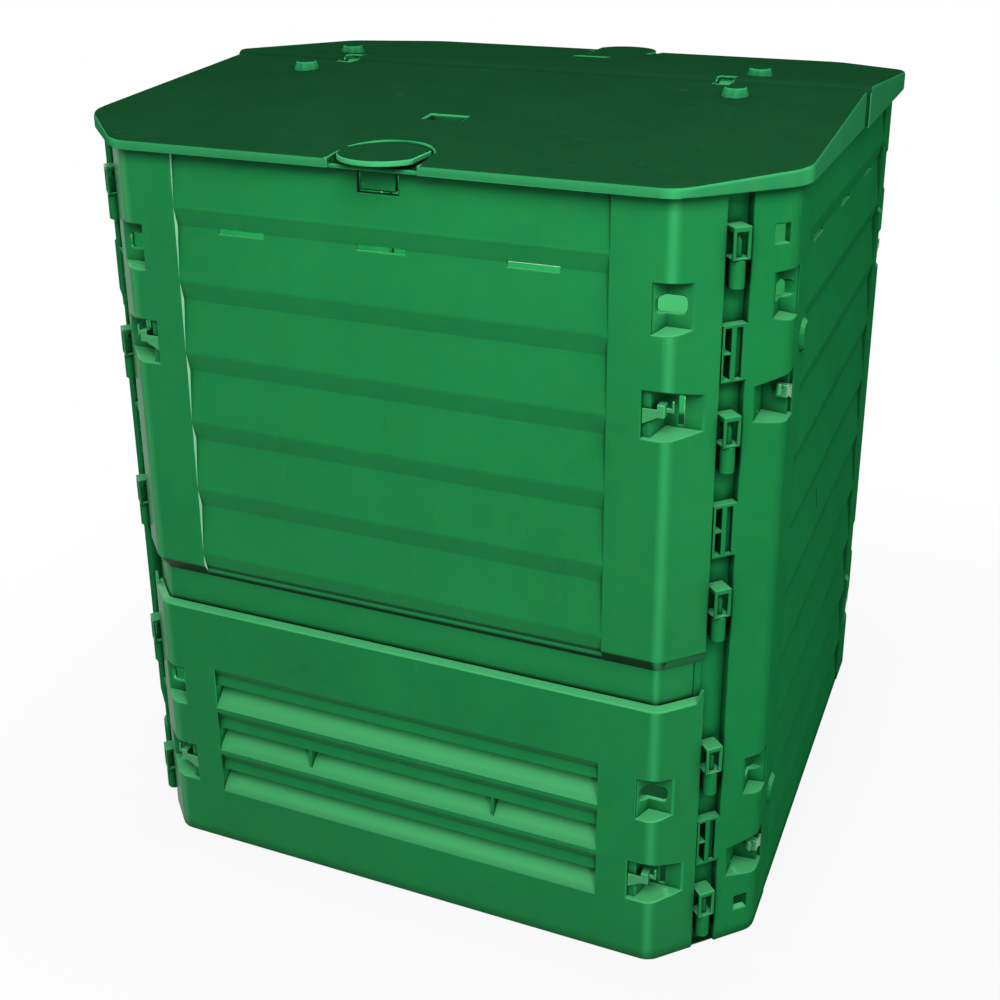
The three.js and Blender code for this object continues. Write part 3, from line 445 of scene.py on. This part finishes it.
def moulding(node, rounding, crease, finishes, segments, choose=plain):
    """A welded copy of a node's solid, its rounded edges worn by rubbing and mostly paled as
    painted highlight, in that node's place.
    """
    mesh = frame["nodes"][node].data.copy()
    mesh.name = f"{node}_moulding"
    mesh.materials.clear()
    for finish in finishes:
        mesh.materials.append(finish)
    shell = bmesh.new()
    shell.from_mesh(mesh)
    bmesh.ops.remove_doubles(shell, verts=shell.verts, dist=WELD)
    bmesh.ops.dissolve_limit(shell, angle_limit=FLAT_ANGLE, use_dissolve_boundaries=False,
                             verts=shell.verts, edges=shell.edges)
    bmesh.ops.triangulate(shell, faces=[face for face in shell.faces if len(face.verts) > QUAD],
                          quad_method="BEAUTY", ngon_method="BEAUTY")
    layers = shell.edges.layers.float
    weight = layers.get(BEVEL_WEIGHT) or layers.new(BEVEL_WEIGHT)
    for face in shell.faces:
        face.smooth = True
        face.material_index = choose(face)
    for edge in shell.edges:
        sharp = crisp(edge, crease)
        edge.smooth = not sharp
        room = min(wanted_room(edge, vertex) for vertex in edge.verts) * ROOM_SHARE
        share = min(1.0, room / rounding)
        edge[weight] = share if sharp and edge.is_convex and share > LEAST_WEIGHT_SHARE else 0.0
    shell.to_mesh(mesh)
    shell.free()
    piece = bpy.data.objects.new(f"{node}_moulding", mesh)
    bpy.context.scene.collection.objects.link(piece)
    bevel = piece.modifiers.new("edge rounding", "BEVEL")
    bevel.limit_method = "WEIGHT"
    bevel.width = rounding
    bevel.segments = segments
    bevel.profile = 0.5
    bevel.use_clamp_overlap = False
    bevel.material = len(finishes) - 1
    weighted = piece.modifiers.new("flat faces", "WEIGHTED_NORMAL")
    weighted.keep_sharp = True
    weighted.weight = LARGE_FACES_LEAD
    ease_folds(piece, rounding)
    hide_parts(node)
    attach(piece, BODY_OF[node])
    return piece


def folded_corners(piece):
    """Corners of the faces that the rounding has turned over."""
    graph = bpy.context.evaluated_depsgraph_get()
    rounded = piece.evaluated_get(graph)
    mesh = rounded.to_mesh()
    normals = mesh.corner_normals
    corners = []
    for face in mesh.polygons:
        turned = any(face.normal.dot(normals[loop].vector) < 0 for loop in face.loop_indices)
        if turned and face.area > LEAST_FOLD:
            corners.extend(mesh.vertices[index].co.copy() for index in face.vertices)
    rounded.to_mesh_clear()
    return corners


def ease_folds(piece, rounding):
    """Leaves edges sharp, in a few rounds, where their rounding would turn a face over."""
    mesh = piece.data
    weight = mesh.attributes[BEVEL_WEIGHT].data
    edges_at = [[] for _ in mesh.vertices]
    places = KDTree(len(mesh.vertices))
    for edge in mesh.edges:
        for index in edge.vertices:
            edges_at[index].append(edge.index)
    for vertex in mesh.vertices:
        places.insert(vertex.co, vertex.index)
    places.balance()
    for _ in range(EASING_ROUNDS):
        corners = folded_corners(piece)
        near = {index for corner in corners
                for _, index, _ in places.find_range(corner, rounding * FOLD_REACH)}
        if not near:
            break
        for number in {number for index in near for number in edges_at[index]}:
            weight[number].value = 0.0
        mesh.update()
        piece.update_tag()


def new_piece(name, shape, finish, body):
    """An object from a finished bmesh, which rides on a body."""
    bmesh.ops.recalc_face_normals(shape, faces=shape.faces)
    mesh = bpy.data.meshes.new(name)
    shape.to_mesh(mesh)
    shape.free()
    mesh.materials.append(finish)
    mesh.shade_smooth()
    piece = bpy.data.objects.new(name, mesh)
    bpy.context.scene.collection.objects.link(piece)
    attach(piece, body)
    return piece


def surface_at(node, start, direction):
    """The first point and its normal where a ray meets a node's solid."""
    source = frame["nodes"][node].data
    tree = BVHTree.FromPolygons([vertex.co for vertex in source.vertices],
                                [face.vertices for face in source.polygons])
    point, normal, _, _ = tree.ray_cast(Vector(start), Vector(direction))
    if point is None:
        raise RuntimeError(f"the ray misses {node}")
    return point, normal


def ring(radius, width, height):
    """A low ring around the Z axis."""
    shape = bmesh.new()
    inner, outer, top = radius - width / 2, radius + width / 2, height - MARK_SINK
    corners = [shape.verts.new((across, 0, up)) for across, up in
               ((inner, -MARK_SINK), (outer, -MARK_SINK), (outer, top), (inner, top))]
    sides = [shape.edges.new((corners[number - 1], corner))
             for number, corner in enumerate(corners)]
    bmesh.ops.spin(shape, geom=corners + sides, cent=(0, 0, 0), axis=(0, 0, 1), angle=math.tau,
                   steps=RING_STEPS, use_merge=True)
    return shape


def rib(length, width, height):
    """A low upright bar with softened edges."""
    shape = bmesh.new()
    bmesh.ops.create_cube(shape, size=1)
    bmesh.ops.scale(shape, vec=(width, length, height + MARK_SINK), verts=shape.verts)
    bmesh.ops.translate(shape, vec=(0, 0, (height - MARK_SINK) / 2), verts=shape.verts)
    bmesh.ops.bevel(shape, geom=shape.edges[:], offset=height * RIB_EDGE_SHARE,
                    offset_type="OFFSET", affect="EDGES", segments=2, profile=0.5, material=-1)
    return shape


def put_mark(shape, name, node, start, direction):
    """Sets a mark on a node's surface, with the node's own plastic."""
    point, normal = surface_at(node, start, direction)
    turn = normal.to_track_quat("Z", "Y").to_matrix().to_4x4()
    bmesh.ops.transform(shape, matrix=Matrix.Translation(point) @ turn, verts=shape.verts)
    finish = bpy.data.objects[f"{node}_moulding"].data.materials[0]
    new_piece(f"{node}_{name}", shape, finish, BODY_OF[node])


class BinShapes(PropertyGroup):
    """Sizes of the roundings and marks."""

    wall_round: FloatProperty(
        name="Wall edges", description="Rounding of the walls' edges", default=1.3 * MM,
        unit="LENGTH")
    door_round: FloatProperty(
        name="Door edges", description="Rounding of the doors' edges", default=1.2 * MM,
        unit="LENGTH")
    lid_round: FloatProperty(
        name="Lid edges", description="Rounding of the lid halves' edges", default=1.6 * MM,
        unit="LENGTH")
    knob_round: FloatProperty(
        name="Knob edges", description="Rounding of the knobs' edges", default=0.8 * MM,
        unit="LENGTH")
    clip_round: FloatProperty(
        name="Clip edges", description="Rounding of the snap clips' edges", default=0.7 * MM,
        unit="LENGTH")
    inner_round: FloatProperty(
        name="Inner edges", description="Rounding of beam, pins and retainers", default=0.5 * MM,
        unit="LENGTH")
    segments: IntProperty(
        name="Segments", description="Segments of each rounding", default=2)
    mark_radius: FloatProperty(
        name="Gate mark", description="Radius of the ring that a mould gate leaves",
        default=2.6 * MM, unit="LENGTH")
    mark_width: FloatProperty(
        name="Gate mark width", description="Width of the ring's band", default=0.9 * MM,
        unit="LENGTH")
    mark_height: FloatProperty(
        name="Gate mark height", description="How far a gate mark stands out", default=0.35 * MM,
        unit="LENGTH")
    rib_length: FloatProperty(
        name="Rib length", description="Length of the small upright rib on a side wall",
        default=24 * MM, unit="LENGTH")
    rib_width: FloatProperty(
        name="Rib width", description="Width of that rib", default=1.4 * MM, unit="LENGTH")


class BinColours(PropertyGroup):
    """Colours of the mouldings."""

    wall: FloatVectorProperty(
        name="Walls", description="Side walls and upper walls", subtype="COLOR",
        default=linear(25, 123, 66))
    # The ends' pale colour is a painted highlight
    highlit_slat_end: FloatVectorProperty(
        name="Slat ends", description="Upright ends of the slat field", subtype="COLOR",
        default=linear(150, 222, 182))
    door: FloatVectorProperty(
        name="Doors", description="Lift-off doors", subtype="COLOR", default=linear(24, 121, 65))
    lid: FloatVectorProperty(
        name="Lid rim", description="Rim and skirt of the lid halves", subtype="COLOR",
        default=linear(40, 132, 80))
    # The grained top is darker than the rim, partly for its grain and partly as painted shade
    lid_top: FloatVectorProperty(
        name="Lid top", description="Grained top of the lid halves", subtype="COLOR",
        default=linear(19, 69, 38))
    # The knobs' pale rim colour is a painted highlight
    knob: FloatVectorProperty(
        name="Knob rim", description="Rim of the turning knobs", subtype="COLOR",
        default=linear(60, 162, 103))
    clip: FloatVectorProperty(
        name="Clips", description="Snap clips", subtype="COLOR", default=linear(36, 140, 78))
    inner: FloatVectorProperty(
        name="Inner parts", description="Beam, hinge pins and retainers", subtype="COLOR",
        default=linear(30, 112, 64))


class BinStudio(PropertyGroup):
    """Camera and lights."""

    camera_place: FloatVectorProperty(
        name="Camera", description="Where the camera stands", subtype="TRANSLATION",
        default=(0.58143, -1.45063, 1.06328))
    camera_turn: FloatVectorProperty(
        name="Camera turn", description="Which way the camera looks", subtype="EULER",
        default=(math.radians(70.24), 0, math.radians(21.96)))
    camera_shift: FloatVectorProperty(
        name="Camera shift", description="Shift of the frame, across and up", size=2,
        default=(-0.02457, -0.14944))
    lens: FloatProperty(
        name="Lens", description="Focal length in millimetres", default=50)
    key_power: FloatProperty(
        name="Key light", description="Power of the high front soft box", default=47, unit="POWER")
    fill_power: FloatProperty(
        name="Fill light", description="Power of the front left soft box", default=5, unit="POWER")
    side_power: FloatProperty(
        name="Side light", description="Power of the right soft box", default=10, unit="POWER")
    rear_power: FloatProperty(
        name="Rear light", description="Power of the soft box behind", default=42, unit="POWER")
    left_power: FloatProperty(
        name="Left light", description="Power of the left soft box", default=26, unit="POWER")
    strip_power: FloatProperty(
        name="Strip light", description="Power of the low upright strip", default=13, unit="POWER")
    inner_power: FloatProperty(
        name="Inner lamp", description="Power of the lamp inside the bin", default=13, unit="POWER")
    sky_level: FloatProperty(
        name="Surround", description="Level of the surrounding light", default=0.1)
    bin_half: FloatProperty(
        name="Under the bin", description="Half the width that the bin hides of the floor",
        default=0.35, unit="LENGTH")
    # The floor under the bin is painted dark green: painted shade, tinted as painted green bounce
    # light
    painted_floor_shade: FloatVectorProperty(
        name="Hidden paint", description="Paint of the floor under the bin", subtype="COLOR",
        default=linear(18, 60, 36))
    floor_level: FloatProperty(
        name="Floor paint", description="Level of the floor's paint", default=0.4)
    floor_half: FloatProperty(
        name="Floor", description="Half the width of the floor", default=9, unit="LENGTH")


def finishes_of(name, colour, changes=None):
    """The plastic of a piece's faces and, smoother from rubbing and paler as a painted highlight,
    of its edges.
    """
    look = {**PLASTIC, **(changes or {})}
    rubbed_highlit = [level * look["rubbed_highlight_gain"] for level in colour]
    return (moulded(f"{name} plastic", tuple(colour), look),
            moulded(f"{name} rubbed edge", rubbed_highlit, {**look, **RUBBED}))


def topped(name, colour, top, changes=None):
    """The finishes of a piece with a grained top."""
    main, rubbed_highlit = finishes_of(name, colour, {**PAINTED_GLOSS, **(changes or {})})
    return main, moulded(f"{name} grained top", tuple(top), {**PLASTIC, **GRAINED}), rubbed_highlit


class BIN_OT_walls(Operator):
    """Dress the side walls and the upper walls"""

    bl_idname = "bin.walls"
    bl_label = "Walls"

    def execute(self, context):
        shapes, colours = context.scene.bin_shapes, context.scene.bin_colours
        matt = finishes_of("side wall", colours.wall, MATT)
        # The slat field's ends: a pale painted highlight, without painted shade
        ends = moulded("slat end", tuple(colours.highlit_slat_end), {**PLASTIC, "painted_shade_share": 0.0})
        for node in SIDE_WALLS:
            moulding(node, shapes.wall_round, WALL_CREASE, matt, shapes.segments)
        for node, slit_foot in zip(UPPER_WALLS, SLIT_FEET):
            # The upper walls get painted shadow behind the door and painted shade round the catch's
            # slit
            look = {**SMOOTH_AND_HIGHLIT, **MATT, "painted_door_shadow_line": DOOR_LINE, "slit_foot": slit_foot}
            smooth, rubbed_highlit = finishes_of(node.replace("_", " "), colours.wall, look)
            moulding(node, shapes.wall_round, WALL_CREASE, (smooth, ends, rubbed_highlit),
                     shapes.segments, highlit_slat_end)
        return {"FINISHED"}


class BIN_OT_doors(Operator):
    """Dress the lift-off doors"""

    bl_idname = "bin.doors"
    bl_label = "Doors"

    def execute(self, context):
        shapes, colours = context.scene.bin_shapes, context.scene.bin_colours
        finishes = finishes_of("door", colours.door, {**SMOOTH_AND_HIGHLIT, "top_light_range": (0.24, 0.36)})
        for node in DOORS:
            moulding(node, shapes.door_round, SCOOP_CREASE, finishes, shapes.segments)
        return {"FINISHED"}


class BIN_OT_lid(Operator):
    """Dress the lid halves"""

    bl_idname = "bin.lid"
    bl_label = "Lid halves"

    def execute(self, context):
        shapes, colours = context.scene.bin_shapes, context.scene.bin_colours
        finishes = topped("lid", colours.lid, colours.lid_top)
        for node in LIDS:
            moulding(node, shapes.lid_round, ROUND_CREASE, finishes,
                     shapes.segments, grained)
        return {"FINISHED"}


class BIN_OT_knobs(Operator):
    """Dress the turning knobs"""

    bl_idname = "bin.knobs"
    bl_label = "Knobs"

    def execute(self, context):
        shapes, colours = context.scene.bin_shapes, context.scene.bin_colours
        finishes = topped("knob", colours.knob, colours.lid_top, {"painted_shade_share": 0.35})
        for node in KNOBS:
            moulding(node, shapes.knob_round, ROUND_CREASE, finishes,
                     shapes.segments, grained)
        return {"FINISHED"}


class BIN_OT_clips(Operator):
    """Dress the snap clips"""

    bl_idname = "bin.clips"
    bl_label = "Snap clips"

    def execute(self, context):
        shapes, colours = context.scene.bin_shapes, context.scene.bin_colours
        finishes = finishes_of("clip", colours.clip, {"specular": 0.5})
        for node in CLIPS:
            moulding(node, shapes.clip_round, WALL_CREASE, finishes, shapes.segments)
        return {"FINISHED"}


class BIN_OT_inner(Operator):
    """Dress the ridge beam, the hinge pins and the knob retainers"""

    bl_idname = "bin.inner"
    bl_label = "Inner parts"

    def execute(self, context):
        shapes, colours = context.scene.bin_shapes, context.scene.bin_colours
        finishes = finishes_of("inner", colours.inner)
        for node in ("ridge_beam", *PINS, *RETAINERS):
            moulding(node, shapes.inner_round, ROUND_CREASE, finishes,
                     shapes.segments)
        return {"FINISHED"}


class BIN_OT_marks(Operator):
    """Add the gate marks and the small ribs that the mould leaves on walls and doors"""

    bl_idname = "bin.marks"
    bl_label = "Mould marks"

    def execute(self, context):
        shapes = context.scene.bin_shapes
        for side, wall, door, flank in ((-1, "front_upper_wall", "front_door", "right_wall"),
                                        (1, "back_upper_wall", "back_door", "left_wall")):
            for node, up, slot in ((wall, WALL_GATE_UP, "wall_green"),
                                   (door, DOOR_GATE_UP, "door_green")):
                gate = ring(shapes.mark_radius, shapes.mark_width, shapes.mark_height)
                put_mark(gate, "gate_mark", node, (0, side * FAR, up), (0, -side, 0))
            upright = rib(shapes.rib_length, shapes.rib_width, shapes.mark_height * 2)
            put_mark(upright, "rib", flank, (-side * FAR, side * RIB_ALONG, RIB_UP), (side, 0, 0))
            dot = ring(shapes.mark_radius / 2, shapes.mark_width, shapes.mark_height)
            put_mark(dot, "gate_dot", flank, (-side * FAR, -side * DOT_ALONG, DOT_UP), (side, 0, 0))
        return {"FINISHED"}


def area_light(name, place, aim, size, power):
    """A soft box that looks at a point."""
    lamp = bpy.data.lights.new(name, "AREA")
    lamp.shape = "RECTANGLE"
    lamp.size, lamp.size_y = size
    lamp.energy = power
    holder = bpy.data.objects.new(name, lamp)
    holder.location = place
    holder.rotation_euler = (Vector(aim) - Vector(place)).to_track_quat("-Z", "Y").to_euler()
    bpy.context.scene.collection.objects.link(holder)


class BIN_OT_stage(Operator):
    """Set up the floor, the surround, the lights and the camera"""

    bl_idname = "bin.stage"
    bl_label = "Stage"

    def execute(self, context):
        scene, studio = context.scene, context.scene.bin_studio
        self.floor(studio)
        self.surround(scene, studio)
        low, high = cad_box
        middle = (Vector(low) + Vector(high)) / 2
        for name, place, size, power in SOFT_BOXES:
            area_light(name, place, middle, size, getattr(studio, power))
        lamp = bpy.data.lights.new("inner lamp", "POINT")
        lamp.energy = studio.inner_power
        lamp.shadow_soft_size = INNER_LAMP_RADIUS
        glow = bpy.data.objects.new("inner lamp", lamp)
        glow.location = middle
        scene.collection.objects.link(glow)
        camera = bpy.data.cameras.new("camera")
        camera.lens = studio.lens
        camera.shift_x, camera.shift_y = studio.camera_shift
        holder = bpy.data.objects.new("camera", camera)
        holder.location = studio.camera_place
        holder.rotation_euler = Euler(studio.camera_turn)
        scene.collection.objects.link(holder)
        scene.camera = holder
        scene.view_settings.view_transform = "Standard"
        return {"FINISHED"}

    def floor(self, studio):
        """A pale floor, fading to white further out, that keeps the bin's shadow and has painted
        dark green shade under the bin.
        """
        sheet = bmesh.new()
        bmesh.ops.create_grid(sheet, x_segments=1, y_segments=1, size=studio.floor_half)
        mesh = bpy.data.meshes.new("floor")
        sheet.to_mesh(mesh)
        sheet.free()
        material = bpy.data.materials.new("pale floor")
        material.use_nodes = True
        tree = Tree(material.node_tree)
        white = tree.node("ShaderNodeEmission", {}, {"Color": (1, 1, 1, 1), "Strength": 1.0})
        apart = tree.node("ShaderNodeVectorMath", {"operation": "ABSOLUTE"}, {0: tree.place()})
        across, along = tree.part(apart, "X"), tree.part(apart, "Y")
        away = across.math("MAXIMUM", along).math("MAXIMUM", (across + along) * OCTAGON_SHARE)
        under = studio.bin_half
        outside = away.above(under, under + FLOOR_EDGE)
        # The floor inside the bin's footprint: dark green painted shade
        painted_floor_shade = tree.node("ShaderNodeBsdfDiffuse", {}, {"Color": opaque(studio.painted_floor_shade)})
        open_floor = tree.node("ShaderNodeBsdfDiffuse", {}, {
            "Color": opaque((studio.floor_level,) * 3)})
        paint = tree.node("ShaderNodeMixShader", {}, {0: outside, 1: painted_floor_shade, 2: open_floor})
        far = away.above(under, under * FAR_WHITE_REACH)
        fade = outside * NEAR_WHITE + far * FAR_WHITE
        shown = tree.node("ShaderNodeMixShader", {}, {
            0: (tree.seen() * fade).kept(), 1: paint, 2: white})
        tree.node("ShaderNodeOutputMaterial", {}, {"Surface": shown})
        mesh.materials.append(material)
        floor = bpy.data.objects.new("floor", mesh)
        bpy.context.scene.collection.objects.link(floor)

    def surround(self, scene, studio):
        """White where the camera, gloss or glass sees it, and a plain level of light elsewhere."""
        world = bpy.data.worlds.new("surround")
        scene.world = world
        world.use_nodes = True
        tree = Tree(world.node_tree)
        level = tree.seen().kept() * (1 - studio.sky_level) + studio.sky_level
        light = tree.node("ShaderNodeBackground", {}, {"Color": (1, 1, 1, 1), "Strength": level})
        tree.node("ShaderNodeOutputWorld", {}, {"Surface": light})


OPERATORS = (BIN_OT_walls, BIN_OT_doors, BIN_OT_lid, BIN_OT_knobs, BIN_OT_clips, BIN_OT_inner,
             BIN_OT_marks, BIN_OT_stage)


class BIN_PT_looks(Panel):
    """Lists the steps that dress the bin"""

    bl_idname = "BIN_PT_looks"
    bl_label = "Compost bin"
    bl_space_type = "VIEW_3D"
    bl_region_type = "UI"
    bl_category = "Bin"

    def draw(self, context):
        for operator in OPERATORS:
            self.layout.operator(operator.bl_idname)
        scene = context.scene
        for group in (scene.bin_shapes, scene.bin_colours, scene.bin_studio):
            box = self.layout.box()
            for name in group.__annotations__:
                box.prop(group, name)


CLASSES = (BinShapes, BinColours, BinStudio, *OPERATORS, BIN_PT_looks)


def register():
    for kind in CLASSES:
        bpy.utils.register_class(kind)
    bpy.types.Scene.bin_shapes = PointerProperty(type=BinShapes)
    bpy.types.Scene.bin_colours = PointerProperty(type=BinColours)
    bpy.types.Scene.bin_studio = PointerProperty(type=BinStudio)


def unregister():
    del bpy.types.Scene.bin_studio
    del bpy.types.Scene.bin_colours
    del bpy.types.Scene.bin_shapes
    for kind in reversed(CLASSES):
        bpy.utils.unregister_class(kind)


def main():
    register()
    for operator in OPERATORS:
        group, name = operator.bl_idname.split(".")
        getattr(getattr(bpy.ops, group), name)()
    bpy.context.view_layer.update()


if __name__ == "__main__":
    main()
